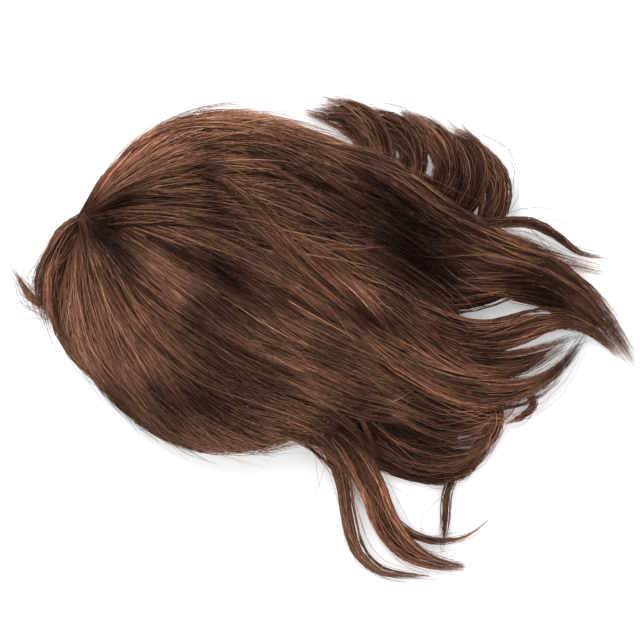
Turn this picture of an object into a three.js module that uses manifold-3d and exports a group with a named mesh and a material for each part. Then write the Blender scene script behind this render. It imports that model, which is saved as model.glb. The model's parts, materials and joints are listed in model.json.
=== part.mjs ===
// A long brown cosplay wig that lies on its side: a stretch cap, and the hair sewn to it in six zones.
// Lengths are in millimetres. +X runs from the crown to the tips, the face side is -Y, and +Z is up.
import * as THREE from "three";
import { mergeVertices } from "three/addons/utils/BufferGeometryUtils.js";
import Module from "manifold-3d";

// Driving dimensions: the body is the hair that lies on the cap, and a lock is free hair past it
const BODY_HALF_LENGTH = 144; // middle of the body to its crown end
const BODY_HALF_WIDTH = 137; // middle of the body to its near or far side
const BODY_HEIGHT = 92; // floor to the top of the body
const WIDEST_HEIGHT = 34; // floor to the line where the body is widest
const NAPE_FALL = 200; // length over which the body sinks behind the head
const HAIR_DEPTH = 13; // outside of the hair to the outside of the cap
const CAP_WALL = 2;
const CAP_RIM = 40; // middle of the body to the middle of the cap's open edge
const CAP_RIM_SLANT = 52; // how far that edge lies back at the nape and forward at the face
const RIM_CLEAR = 4; // the hair stays this far behind the open edge
const SHEET_WIDTH = 64; // a band of hair on the head
const SHEET_THICKNESS = 16;
const LOCK_LENGTH = 200; // the unit that the free locks are measured by
const LOCK_WIDTH = 28;
const LOCK_THICKNESS = 11;
const ZONE_GAP = 0.4; // clearance between two zones, or a zone and the cap

const HAIR_COLOUR = 0x4a2f24;
const CAP_COLOUR = 0x1d1614;
const HAIR_ROUGHNESS = 0.5;
const CAP_ROUGHNESS = 0.9;

// How the body tapers: towards the crown by these powers, and behind the head by these shares
const CROWN_POWER = { wide: 0.8, over: 0.6, under: 0.5 };
const NAPE_SHARE = { wide: 0.36, over: 0.7, middle: 0.6 };
const CROWN_END = 0.02; // the least that is left of the body's section at its crown end

const WHORL = { x: -0.75, y: 0.4 }; // where the hair leaves the head, as shares of the half sizes
const TUCK_SHARE = 0.3; // share of its length over which a sheet turns to its tuck
const LET_GO = 0.45; // share of the half length over which a lock leaves the body
const TAPER_FROM = 0.55; // share of its length past which a lock narrows to its tip
const ROOT_THICKNESS = 0.7; // thickness at the root, as a share of the full one

const RING_SIDES = 6;
const SHEET_STEP = 34; // one ring of a sheet to the next
const LOCK_STEP = 22;
const CAP_RINGS = 9;
const CAP_SIDES = 20;

const { degToRad } = THREE.MathUtils;
const mix = THREE.MathUtils.lerp;
const smooth = (t) => THREE.MathUtils.smoothstep(t, 0, 1);
const UP = new THREE.Vector3(0, 0, 1);

// The value at share u of a list whose entries stand at even shares, on a smooth curve through them
function along(list, u) {
  const last = list.length - 1;
  const i = Math.min(last - 1, Math.floor(u * last));
  const f = u * last - i;
  const [a, b, c, d] = [list[Math.max(0, i - 1)], list[i], list[i + 1], list[Math.min(last, i + 2)]];
  return b + 0.5 * f * (c - a + f * (2 * a - 5 * b + 4 * c - d + f * (3 * (b - c) + d - a)));
}

// The body's section across X, at a depth below its surface: half width, height of its axis, half heights
function section(x, depth = 0) {
  const t = Math.min(0, x) / (BODY_HALF_LENGTH - depth);
  const crown = Math.max(CROWN_END, 1 - t * t);
  const nape = smooth(x / NAPE_FALL);
  const middle = WIDEST_HEIGHT * (1 - NAPE_SHARE.middle * nape);
  const above = BODY_HEIGHT - WIDEST_HEIGHT - depth;
  return {
    wide: (BODY_HALF_WIDTH - depth) * crown ** CROWN_POWER.wide * (1 - NAPE_SHARE.wide * nape),
    middle,
    over: above * crown ** CROWN_POWER.over * (1 - NAPE_SHARE.over * nape),
    under: (middle - depth) * crown ** CROWN_POWER.under,
  };
}

// A free lock: where it starts, as shares of the body's half length and half width, its length and width
// as shares of a lock's, its headings in degrees from +X at even shares of its length, and its heights
// there as shares of the body's height
const lock = (name, x, y, length, width, turns, rise, more = {}) => ({
  name, x, y, turns, rise, length: length * LOCK_LENGTH, width: width * LOCK_WIDTH,
  thickness: LOCK_THICKNESS, hug: 1, letGo: 0.35, root: 0.6, fill: 0.25, tip: 0.15, tuck: 0,
  step: LOCK_STEP, ...more,
});

// A lock that starts on another one, at a share of that one's length
const branch = (name, from, share, length, width, turns, rise) =>
  lock(name, 0, 0, length, width, turns, rise, { from, share, hug: 0 });

// A sheet leaves the whorl and lies on the body; its length is a share of the body's half length, and
// its tuck turns it round the body's axis, to the underside
const sheet = (name, length, turns, tuck = 0, width = 1) =>
  lock(name, WHORL.x, WHORL.y, 0, 0, turns, [0.5, 0.5], {
    length: length * BODY_HALF_LENGTH, width: width * SHEET_WIDTH, thickness: SHEET_THICKNESS,
    letGo: 2, root: 0.25, fill: 0.5, tip: 0.45, tuck, step: SHEET_STEP,
  });

// A strip of the bed lies flat under the cap, and comes down to it from the crown
const strip = (name, x, y, length, turns) =>
  lock(name, x, y, 0, 0, turns, [0.34, 0.054, 0.054, 0.054, 0.054, 0.054], {
    length: length * BODY_HALF_LENGTH, width: 1.4 * SHEET_WIDTH, thickness: SHEET_THICKNESS,
    hug: 0, root: 0.25, tip: 0.35, step: SHEET_STEP,
  });

const ZONES = {
  crown_hair: [
    sheet("far_edge", 2.08, [60, 48, 10, -11, -22, -30]),
    sheet("far_shoulder", 2.3, [48, 34, 8, -19, -30, -36]),
    sheet("far_top", 2.3, [32, 16, -4, -27, -32, -34]),
    sheet("top", 2.4, [12, -2, -15, -27, -32, -44]),
    sheet("ridge", 2.36, [-8, -22, -30, -28, -30, -42]),
    sheet("near_top", 2.3, [-26, -36, -34, -27, -26, -34]),
    sheet("near_shoulder", 2.2, [-44, -50, -38, -25, -24, -28]),
    lock("rope", 0.44, 0.83, 1.36, 1, [-22, -24, -36, -24, -12, -16], [0.6, 0.5, 0.34, 0.26, 0.16, 0.05]),
    branch("rope_arc", "rope", 0.53, 0.65, 0.4, [-4, 3, 5, -18, -22, -22], [0.3, 0.26, 0.22, 0.17, 0.1, 0.05]),
    lock("shade", 0.5, 0.59, 0.85, 1.8, [-34, -34, -26, -10, -6, -10], [0.6, 0.45, 0.36, 0.3, 0.26, 0.2]),
    lock("slot", 0.89, -0.04, 1.05, 0.9, [-32, -31, -6, 20, -16, -42], [0.46, 0.37, 0.3, 0.26, 0.18, 0.08]),
    lock("swoop", 0.67, 0.15, 1.24, 0.9, [-40, -43, -42, -3, 25, 6], [0.6, 0.46, 0.34, 0.28, 0.24, 0.14]),
    lock("round", 0.72, -0.22, 1.12, 1, [-41, -35, -20, -1, 34, 62], [0.55, 0.42, 0.32, 0.26, 0.2, 0.12]),
  ],
  front_hair: [
    sheet("near_edge", 2.36, [-62, -66, -46, -29, -26, -36]),
    sheet("cheek", 2.22, [-80, -72, -54, -38, -18, -4]),
    sheet("jaw", 2.08, [-94, -82, -56, -38, -16, 6], 8),
    sheet("temple", 1.4, [-104, -92, -66, -46, -34, -24], 30, 0.8),
    lock("tail", 0.61, -0.86, 0.83, 1, [-47, -52, -71, -54, -23, -2], [0.4, 0.3, 0.22, 0.16, 0.1, 0.05]),
    lock("tail_edge", 0.39, -0.87, 0.92, 0.6, [-36, -47, -80, -66, -13, -4], [0.42, 0.3, 0.2, 0.13, 0.08, 0.04]),
    branch("hoop", "tail", 0.18, 0.68, 0.3, [-60, -57, -46, -24, 22, 42], [0.26, 0.2, 0.15, 0.1, 0.07, 0.04]),
  ],
  fringe: [
    lock("bang_side", -0.79, 0.36, 0.9, 1.5, [-104, -98, -77, -50, -46, -44], [0.56, 0.54, 0.48, 0.36, 0.26, 0.2], { hug: 0 }),
    branch("bang_near", "bang_side", 0, 0.5, 1.2, [-110, -112, -102, -86, -72, -66], [0.56, 0.46, 0.34, 0.22, 0.14, 0.08]),
    branch("bang_mid", "bang_side", 0, 0.47, 1, [-118, -120, -116, -102, -66, -56], [0.56, 0.44, 0.32, 0.2, 0.11, 0.06]),
    branch("bang_flip", "bang_side", 0, 0.38, 0.7, [-124, -124, -122, -114, -134, -172], [0.56, 0.42, 0.3, 0.2, 0.12, 0.07]),
  ],
  nape_hair: [
    lock("mass_far", 0.9, 0.31, 1.2, 1.2, [-20, -14, -11, -26, -48, -58], [0.26, 0.22, 0.18, 0.14, 0.1, 0.04]),
    lock("mass_near", 0.9, 0.17, 1.0, 1.1, [-24, -20, 6, -8, -34, -52], [0.26, 0.22, 0.18, 0.15, 0.1, 0.05]),
  ],
  back_hair: [
    sheet("far_low", 1.5, [60, 44, 18, 0, -8, -14], -70, 0.8),
    sheet("far_side", 2.08, [60, 48, 10, -12, -22, -30], -32),
    lock("fan_root", 0.6, 0.73, 0.8, 1.5, [-18, -22, -26, -30, -26, -24], [0.26, 0.2, 0.16, 0.14, 0.13, 0.12], { hug: 0 }),
    branch("fan_1", "fan_root", 0.23, 0.45, 0.8, [104, 107, 122, 152, 168, 170], [0.2, 0.18, 0.14, 0.1, 0.07, 0.05]),
    branch("fan_2", "fan_root", 0.34, 0.46, 0.8, [75, 98, 120, 142, 153, 163], [0.2, 0.18, 0.16, 0.12, 0.08, 0.06]),
    branch("fan_3", "fan_root", 0.44, 0.46, 0.8, [73, 80, 111, 140, 156, 166], [0.2, 0.18, 0.17, 0.13, 0.1, 0.07]),
    branch("fan_4", "fan_root", 0.56, 0.47, 0.8, [63, 66, 101, 124, 141, 159], [0.2, 0.18, 0.18, 0.14, 0.1, 0.06]),
    branch("fan_5", "fan_root", 0.68, 0.46, 0.8, [62, 62, 92, 113, 140, 161], [0.2, 0.17, 0.17, 0.13, 0.09, 0.05]),
    branch("fan_6", "fan_root", 0.8, 0.48, 0.7, [63, 66, 99, 123, 124, 125], [0.2, 0.15, 0.15, 0.11, 0.07, 0.04]),
  ],
  under_hair: [
    strip("bed_far", -0.76, 0.2, 1.95, [40, 30, 6, -8, -14, -18]),
    strip("bed_middle", -0.86, 0.2, 2.2, [0, -6, -8, -8, -12, -14]),
    strip("bed_near", -0.84, 0.16, 2.15, [-60, -44, -18, -10, -12, -16]),
    lock("rim", 0.5, -0.71, 1.03, 0.8, [-43, -36, -20, 2, 65, 68], [0.08, 0.09, 0.09, 0.08, 0.06, 0.05], { hug: 0 }),
    lock("rim_inner", 0.6, -0.61, 0.85, 1.3, [-41, -41, -32, -11, 27, 69], [0.1, 0.11, 0.12, 0.1, 0.08, 0.06], { hug: 0 }),
    lock("curl", 0.8, -0.49, 0.72, 1.5, [-38, -38, -26, -6, 22, 60], [0.1, 0.12, 0.13, 0.13, 0.11, 0.08], { hug: 0 }),
    lock("drop", 1.49, -0.6, 0.34, 0.6, [-60, -70, -92, -115, -134, -139], [0.14, 0.17, 0.17, 0.13, 0.1, 0.06], { hug: 0 }),
    branch("hook", "curl", 1, 0.25, 0.5, [-10, -33, -106, -145, -156, -156], [0.1, 0.1, 0.09, 0.08, 0.07, 0.06]),
    branch("spike", "rim", 0.6, 0.29, 0.35, [-84, -88, -98, -100, -101, -100], [0.08, 0.07, 0.06, 0.05, 0.04, 0.04]),
  ],
};
const LOCKS = new Map(Object.values(ZONES).flat().map((row) => [row.name, row]));

// The root of a lock: on the body by its shares, or on the lock that it branches from
function root(row) {
  if (!row.from) return { x: row.x * BODY_HALF_LENGTH, y: row.y * BODY_HALF_WIDTH, height: row.rise[0] };
  const points = route(LOCKS.get(row.from));
  const { at } = points[Math.round(row.share * (points.length - 1))];
  return { x: at.x, y: at.y, height: at.z / BODY_HEIGHT };
}

// A lock's centre line. On the body it lies in the surface, turned round the axis by its tuck, and where
// it lets go of the body it comes to its own heights.
function route(row) {
  const steps = Math.max(6, Math.round(row.length / row.step));
  let { x, y, height } = root(row);
  const rise = [height, ...row.rise.slice(1)];
  const points = [];
  for (let i = 0; i <= steps; i++) {
    const u = i / steps;
    const s = section(x);
    const hug = row.hug * (1 - smooth((x / BODY_HALF_LENGTH - row.letGo) / LET_GO));
    const turn = Math.acos(THREE.MathUtils.clamp(y / s.wide, -1, 1)) + degToRad(row.tuck) * smooth(u / TUCK_SHARE);
    const half = Math.sin(turn) > 0 ? s.over : s.under;
    const onBody = new THREE.Vector3(x, Math.cos(turn) * s.wide, s.middle + Math.sin(turn) * half);
    const free = new THREE.Vector3(x, y, along(rise, u) * BODY_HEIGHT);
    points.push({ u, hug, at: free.lerp(onBody, hug) });
    const heading = degToRad(along(row.turns, Math.min(1, (i + 0.5) / steps)));
    x += (Math.cos(heading) * row.length) / steps;
    y += (Math.sin(heading) * row.length) / steps;
  }
  return points;
}

// The direction out of a lock's face: away from the body where it hugs the body, and up where it is free
function outward(p, hug) {
  const s = section(p.x);
  const z = p.z - s.middle;
  const onBody = new THREE.Vector3(0, p.y / s.wide ** 2, z / (z > 0 ? s.over : s.under) ** 2).normalize();
  return UP.clone().lerp(onBody, hug).normalize();
}

// How far out from the body's axis a point lies, where 1 is on the body's surface
function reach(p) {
  const s = section(p.x);
  const z = p.z - s.middle;
  return Math.hypot(p.y / s.wide, z / (z > 0 ? s.over : s.under));
}

// The point `across` beside a lock's centre line and `out` from it, wrapped round the body
function beside({ at, hug }, ahead, across, out) {
  const sideways = new THREE.Vector3().crossVectors(outward(at, hug), ahead).normalize();
  const p = at.clone().addScaledVector(sideways, across);
  const pull = mix(1, reach(at) / Math.max(CROWN_END, reach(p)), hug);
  const { middle } = section(p.x);
  p.set(p.x, p.y * pull, middle + (p.z - middle) * pull);
  return p.addScaledVector(outward(p, hug), out);
}

// The closed surface through rings of points that all run the same way round
function loft(rings) {
  const count = rings[0].length;
  const positions = rings.flat().flatMap((p) => [p.x, p.y, p.z]);
  const index = [];
  for (let i = 0; i + 1 < rings.length; i++)
    for (let j = 0; j < count; j++) {
      const next = (j + 1) % count;
      const [a, b, c, d] = [i * count + j, i * count + next, (i + 1) * count + next, (i + 1) * count + j];
      index.push(a, c, b, a, d, c);
    }
  for (const i of [0, rings.length - 1]) {
    const centre = rings[i].reduce((sum, p) => sum.add(p), new THREE.Vector3()).divideScalar(count);
    const middle = positions.length / 3;
    positions.push(centre.x, centre.y, centre.z);
    for (let j = 0; j < count; j++) {
      const [a, b] = [i * count + j, i * count + ((j + 1) % count)];
      index.push(middle, ...(i === 0 ? [a, b] : [b, a]));
    }
  }
  const geometry = new THREE.BufferGeometry();
  geometry.setAttribute("position", new THREE.Float32BufferAttribute(positions, 3));
  geometry.setIndex(index);
  return geometry;
}

const wasm = await Module();
wasm.setup();

function solidOf(geometry) {
  geometry.deleteAttribute("normal");
  geometry.deleteAttribute("uv");
  const merged = mergeVertices(geometry, 1e-3);
  const mesh = new wasm.Mesh({
    numProp: 3,
    vertProperties: new Float32Array(merged.attributes.position.array),
    triVerts: new Uint32Array(merged.index.array),
  });
  return new wasm.Manifold(mesh);
}

function geometryOf(solid) {
  const mesh = solid.getMesh();
  const geometry = new THREE.BufferGeometry();
  geometry.setAttribute("position", new THREE.BufferAttribute(new Float32Array(mesh.vertProperties), 3));
  geometry.setIndex(new THREE.BufferAttribute(new Uint32Array(mesh.triVerts), 1));
  geometry.computeVertexNormals();
  return geometry;
}

// One lock, `grow` larger all round: narrow at the root, then full, then drawn in to the tip
function lockSolid(row, grow) {
  const points = route(row);
  const rings = points.map((point, i) => {
    const { u, hug } = point;
    const ahead = points[Math.min(points.length - 1, i + 1)].at.clone().sub(points[Math.max(0, i - 1)].at).normalize();
    const taper = mix(1, row.tip, smooth((u - TAPER_FROM) / (1 - TAPER_FROM)));
    const wide = (row.width / 2) * mix(row.root, 1, smooth(u / row.fill)) * taper + grow;
    const thick = (row.thickness / 2) * mix(ROOT_THICKNESS, 1, smooth(u / row.fill)) * taper ** 0.7 + grow;
    return Array.from({ length: RING_SIDES }, (_, j) => {
      const a = (2 * Math.PI * j) / RING_SIDES;
      return beside(point, ahead, -wide * Math.cos(a), thick * Math.sin(a) - (row.thickness / 2) * hug);
    });
  });
  return solidOf(loft(rings));
}

const union = (rows, grow) => rows.map((row) => lockSolid(row, grow)).reduce((all, one) => all.add(one));

// The largest body of a cut solid, without the crumbs that a cut leaves
function settled(solid) {
  const largest = (whole) => whole.decompose().reduce((a, b) => (a.volume() > b.volume() ? a : b));
  return largest(solidOf(geometryOf(largest(solid))));
}

// A ring of the cap, at a depth below the hair's surface and a share of the way from the crown to the
// slanted open edge, or `beyond` that edge
function capRing(depth, share, beyond = 0) {
  return Array.from({ length: CAP_SIDES }, (_, j) => {
    const a = (-2 * Math.PI * j) / CAP_SIDES;
    const rim = CAP_RIM + CAP_RIM_SLANT * Math.cos(a);
    const x = mix(depth - BODY_HALF_LENGTH, rim, share) + beyond;
    const s = section(x, depth);
    const half = Math.sin(a) > 0 ? s.over : s.under;
    return new THREE.Vector3(x, s.wide * Math.cos(a), s.middle + half * Math.sin(a));
  });
}

const capRings = (depth) =>
  Array.from({ length: CAP_RINGS }, (_, i) => capRing(depth, ((i + 1) / CAP_RINGS) ** 2));

// The cap is open at the neck and face; the head's room, with the clearance round it, is kept free of hair
const cap = solidOf(loft([...capRings(HAIR_DEPTH), ...capRings(HAIR_DEPTH + CAP_WALL).reverse()]));
const room = solidOf(loft([...capRings(HAIR_DEPTH - ZONE_GAP), capRing(HAIR_DEPTH - ZONE_GAP, 1, RIM_CLEAR)]));

// What lies below the floor
const reachOut = 4 * (BODY_HALF_LENGTH + LOCK_LENGTH);
const below = new THREE.BoxGeometry(reachOut, reachOut, BODY_HEIGHT).translate(0, 0, -BODY_HEIGHT / 2);

// Each zone keeps clear of the cap's room and of the zones that lie over it
const solids = { cap };
let taken = room.add(solidOf(below));
for (const [name, rows] of Object.entries(ZONES)) {
  solids[name] = settled(union(rows, 0).subtract(taken));
  taken = taken.add(union(rows, ZONE_GAP)).add(solids[name]);
}

const wig = new THREE.Group();
for (const [name, solid] of Object.entries(solids)) {
  const [color, roughness] = name === "cap" ? [CAP_COLOUR, CAP_ROUGHNESS] : [HAIR_COLOUR, HAIR_ROUGHNESS];
  const material = new THREE.MeshStandardMaterial({ color, roughness, metalness: 0 });
  const mesh = new THREE.Mesh(geometryOf(solid), material);
  mesh.name = name;
  wig.add(mesh);
}

// The origin is on the floor, under the middle of the whole
const middle = new THREE.Box3().setFromObject(wig).getCenter(new THREE.Vector3());
wig.position.set(-middle.x, -middle.y, 0);

export default wig;
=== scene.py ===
import json

import bpy
import numpy as np
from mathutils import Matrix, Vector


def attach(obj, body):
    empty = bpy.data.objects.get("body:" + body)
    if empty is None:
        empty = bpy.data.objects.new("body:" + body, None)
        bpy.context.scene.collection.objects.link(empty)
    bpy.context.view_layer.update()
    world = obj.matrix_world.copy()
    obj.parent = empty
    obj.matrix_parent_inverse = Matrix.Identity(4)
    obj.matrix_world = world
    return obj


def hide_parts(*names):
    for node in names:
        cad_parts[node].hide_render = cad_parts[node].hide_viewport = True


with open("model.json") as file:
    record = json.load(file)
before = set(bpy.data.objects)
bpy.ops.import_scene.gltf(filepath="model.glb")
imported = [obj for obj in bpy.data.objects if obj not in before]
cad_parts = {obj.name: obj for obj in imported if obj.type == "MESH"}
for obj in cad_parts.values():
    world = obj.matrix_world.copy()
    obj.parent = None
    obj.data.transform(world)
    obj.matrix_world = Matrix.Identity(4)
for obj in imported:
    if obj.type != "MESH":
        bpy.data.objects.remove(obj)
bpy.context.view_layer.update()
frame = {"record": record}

# The camera and the room.
# The wig lies on its side on a white table and is seen from straight above, through a long lens.
PHOTO_PIXELS = 640
METRES_A_PIXEL = 0.0008  # at the height where the hair is widest
LENS_MM = 135
SENSOR_MM = 36
WIDEST_LEVEL = 0.025
BODY_MIDDLE = np.array(next(m for m in frame["record"]["mounts"] if m["name"] == "underside")["pos_m"])
VIEW_MIDDLE = BODY_MIDDLE + (0.0800, -0.0296, 0)  # the middle of the picture, from the middle of the body
FLOOR_HALF = 3.0
FLOOR_WHITE = (0.86, 0.86, 0.86, 1)
FLOOR_GREY = (0.85, 0.85, 0.855, 1)
TABLE_GLOW = 0.3
ROOM_LIGHT = 0.93

scene = bpy.context.scene
scene.view_settings.view_transform = "Standard"


def linear(red, green, blue):
    """Screen colour, 0 to 255, as scene-linear RGBA: the usual screen curve undone."""
    c = np.array([red, green, blue]) / 255
    return (*np.where(c <= 0.04045, c / 12.92, ((c + 0.055) / 1.055) ** 2.4), 1.0)


class Value:
    """A node's output that can be used in sums, so that shader maths reads as a formula."""

    def __init__(self, tree, socket):
        self.tree = tree
        self.socket = socket

    def node(self, kind, inputs, output=0, **settings):
        """One output of a new node: its settings are set first, then its inputs, by name or number."""
        made = self.tree.nodes.new(kind)
        for key, setting in settings.items():
            if key == "stops":
                ramp = made.color_ramp
                while len(ramp.elements) < len(setting):
                    ramp.elements.new(0.5)
                for element, (place, colour) in zip(ramp.elements, setting):
                    element.position = place
                    element.color = colour
            else:
                setattr(made, key, setting)
        for key, value in inputs.items():
            if isinstance(value, Value):
                self.tree.links.new(value.socket, made.inputs[key])
            else:
                made.inputs[key].default_value = value
        return Value(self.tree, made.outputs[output])

    def maths(self, operation, *terms, clamp=False):
        return self.node("ShaderNodeMath", dict(enumerate(terms)), operation=operation, use_clamp=clamp)

    def __add__(self, other):
        return self.maths("ADD", self, other)

    __radd__ = __add__

    def __mul__(self, other):
        return self.maths("MULTIPLY", self, other)

    __rmul__ = __mul__

    def __sub__(self, other):
        return self.maths("SUBTRACT", self, other)

    def held(self):
        """The value kept between 0 and 1."""
        return self.maths("ADD", self, 0.0, clamp=True)

    def part(self, axis):
        return self.node("ShaderNodeSeparateXYZ", {0: self}, output=axis)


def new_material(name, **sockets):
    """A new Principled material, with what is the same all over set on the shader's own sockets. The third
    thing that it gives makes the first nodes of what varies."""
    made = bpy.data.materials.new(name)
    made.use_nodes = True
    shader = made.node_tree.nodes["Principled BSDF"]
    for key, value in sockets.items():
        shader.inputs[key.replace("_", " ")].default_value = value
    return made, shader, Value(made.node_tree, None)


def feed(value, shader, socket):
    value.tree.links.new(value.socket, shader.inputs[socket])


def new_object(name, vertices, faces, material):
    mesh = bpy.data.meshes.new(name)
    mesh.from_pydata(vertices, [], faces)
    made = bpy.data.objects.new(name, mesh)
    mesh.materials.append(material)
    scene.collection.objects.link(made)
    return made


table_white, shader, maths = new_material(
    "table_white", Roughness=0.75, Specular_IOR_Level=0.2, Emission_Color=(1, 1, 1, 1),
    Emission_Strength=TABLE_GLOW,
)
place = maths.node("ShaderNodeTexCoord", {}, output="Object")
mottle = maths.node("ShaderNodeTexNoise", {"Vector": place, "Scale": 3.0, "Detail": 2.0})
tint = maths.node("ShaderNodeValToRGB", {0: mottle}, stops=[(0.0, FLOOR_GREY), (1.0, FLOOR_WHITE)])
feed(tint, shader, "Base Color")
corners = FLOOR_HALF * np.array([[-1, -1, 0], [1, -1, 0], [1, 1, 0], [-1, 1, 0]])
table = new_object("table", corners, [(0, 1, 2, 3)], table_white)

camera = bpy.data.objects.new("camera", bpy.data.cameras.new("camera"))
camera.data.lens = LENS_MM
camera.data.sensor_width = SENSOR_MM
camera_height = WIDEST_LEVEL + PHOTO_PIXELS * METRES_A_PIXEL * LENS_MM / SENSOR_MM
camera.location = (VIEW_MIDDLE[0], VIEW_MIDDLE[1], camera_height)
scene.collection.objects.link(camera)
scene.camera = camera

world = bpy.data.worlds.new("studio")
world.use_nodes = True
world.node_tree.nodes["Background"].inputs["Color"].default_value = (1, 1, 1, 1)
world.node_tree.nodes["Background"].inputs["Strength"].default_value = ROOM_LIGHT
scene.world = world


def softbox(name, place, size, power):
    """A square lamp at a place, turned to the wig."""
    lamp = bpy.data.lights.new(name, "AREA")
    lamp.shape = "SQUARE"
    lamp.size = size
    lamp.energy = power
    made = bpy.data.objects.new(name, lamp)
    made.location = place
    direction = Vector(VIEW_MIDDLE) - Vector(place)
    made.rotation_euler = direction.to_track_quat("-Z", "Y").to_euler()
    scene.collection.objects.link(made)


softbox("key_light", (-0.9, 1.1, 1.9), 1.0, 24)
softbox("fill_light", (1.2, -0.9, 1.8), 1.4, 6)

# How the hair lies.
# The body is the hair on the cap: a domed form round an axis along X, narrow at the crown and low at the
# nape. Every lock of the wig runs on it or leaves it, by the same sizes that the solids were made with.
BODY_HALF_LENGTH = 0.144
BODY_HALF_WIDTH = 0.137
BODY_HEIGHT = 0.092
WIDEST_HEIGHT = 0.034
NAPE_FALL = 0.200
CROWN_POWER = {"wide": 0.8, "over": 0.6, "under": 0.5}  # how fast the sizes shrink to the crown
NAPE_SHARE = {"wide": 0.36, "over": 0.7, "middle": 0.6}  # and how much of them is gone at the nape
CROWN_END = 0.02  # their least share
SHEET_WIDTH = 0.064
SHEET_THICKNESS = 0.016
LOCK_LENGTH = 0.200
LOCK_WIDTH = 0.028
LOCK_THICKNESS = 0.011
SHEET_STEP = 0.034
LOCK_STEP = 0.022
FEWEST_STEPS = 6
WHORL = {"x": -0.75, "y": 0.4}
TUCK_SHARE = 0.3  # the share of its length over which a band turns round the body
LET_GO = 0.45  # the half lengths over which a lock leaves the body
NEVER = 2  # past the end of every band, where nothing lets go
TAPER_FROM = 0.55
TAPER_POWER = 0.7  # the thickness tapers less than the width
ROOT_THICKNESS = 0.7
PATH_POINTS = 97


def smooth(t):
    """0 to 1 with flat ends: t squared times 3 less 2 t."""
    t = np.clip(t, 0, 1)
    return t * t * (3 - 2 * t)


def mix(a, b, t):
    return a + (b - a) * t


def along(values, u):
    """The value at share u of a list whose entries stand at even shares, on a Catmull-Rom curve through
    them. The entries may be numbers or points."""
    v = np.asarray(values, float)
    last = len(v) - 1
    i = np.minimum(last - 1, np.floor(u * last).astype(int))
    f = (u * last - i).reshape(np.shape(u) + (1,) * (v.ndim - 1))
    a, b, c, d = v[np.maximum(0, i - 1)], v[i], v[i + 1], v[np.minimum(last, i + 2)]
    return b + 0.5 * f * (c - a + f * (2 * a - 5 * b + 4 * c - d + f * (3 * (b - c) + d - a)))


def section(x, depth=0.0):
    """The body's section across X at a depth under its surface: half width, height of the axis, and half
    heights over and under it. Towards the crown they shrink by powers of 1 less t squared, and behind the
    head by shares of a smooth step."""
    t = np.minimum(0, x) / (BODY_HALF_LENGTH - depth)
    crown = np.maximum(CROWN_END, 1 - t * t)
    nape = smooth(x / NAPE_FALL)
    middle = WIDEST_HEIGHT * (1 - NAPE_SHARE["middle"] * nape)
    over = BODY_HEIGHT - WIDEST_HEIGHT - depth
    return (
        (BODY_HALF_WIDTH - depth) * crown ** CROWN_POWER["wide"] * (1 - NAPE_SHARE["wide"] * nape),
        middle,
        over * crown ** CROWN_POWER["over"] * (1 - NAPE_SHARE["over"] * nape),
        (middle - depth) * crown ** CROWN_POWER["under"],
    )


def unit(v):
    return v / np.maximum(1e-12, np.linalg.norm(v, axis=-1, keepdims=True))


def outward(p, hug):
    """Away from the body where the hair hugs it, the gradient of its section's ellipse, and up where it is
    free."""
    wide, middle, over, under = section(p[..., 0])
    z = p[..., 2] - middle
    half = np.where(z > 0, over, under)
    from_axis = unit(np.stack([np.zeros_like(z), p[..., 1] / wide**2, z / half**2], -1))
    return unit(mix(np.array([0.0, 0.0, 1.0]), from_axis, hug[..., None]))


def reach(p):
    """How far out from the body's axis a point lies, where 1 is on the body's surface."""
    wide, middle, over, under = section(p[..., 0])
    z = p[..., 2] - middle
    return np.hypot(p[..., 1] / wide, z / np.where(z > 0, over, under))


def lock(name, x, y, length, width, turns, rise, **more):
    """A free lock: its root as shares of the body's half length and half width, its length and width as
    shares of a lock's, and its headings in degrees and heights in body heights at even shares of it.
    It hugs the body up to where it lets go. Its width is a share of its own at the root and at the tip, and
    is full from `fill` on. `lift` raises it over the others, and its strands stop at `last`."""
    row = dict(name=name, x=x, y=y, length=length * LOCK_LENGTH, width=width * LOCK_WIDTH, turns=turns,
               rise=rise, thickness=LOCK_THICKNESS, hug=1, let_go=0.35, root=0.6, fill=0.25, tip=0.15,
               tuck=0, step=LOCK_STEP, origin=None, kind="lock", lift=0, last=1)
    return {**row, **more}


def branch(name, origin, share, length, width, turns, rise, **more):
    """A lock that starts on another one, at a share of that one's length."""
    more = {"origin": origin, "share": share, "hug": 0, **more}
    return lock(name, 0, 0, length, width, turns, rise, **more)


def sheet(name, length, turns, tuck=0, width=1, **more):
    """A broad band from the whorl that lies on the body, turned round its axis by the tuck."""
    sizes = dict(length=length * BODY_HALF_LENGTH, width=width * SHEET_WIDTH, thickness=SHEET_THICKNESS,
                 let_go=NEVER, root=0.25, fill=0.5, tip=0.45, tuck=tuck, step=SHEET_STEP, kind="sheet")
    return {**lock(name, WHORL["x"], WHORL["y"], 0, 0, turns, [0.5, 0.5]), **sizes, **more}


rows_by_name = {}


def zone(*rows):
    """The rows of one zone, kept by name for the locks that start on them."""
    rows_by_name.update({row["name"]: row for row in rows})
    return list(rows)


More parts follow.
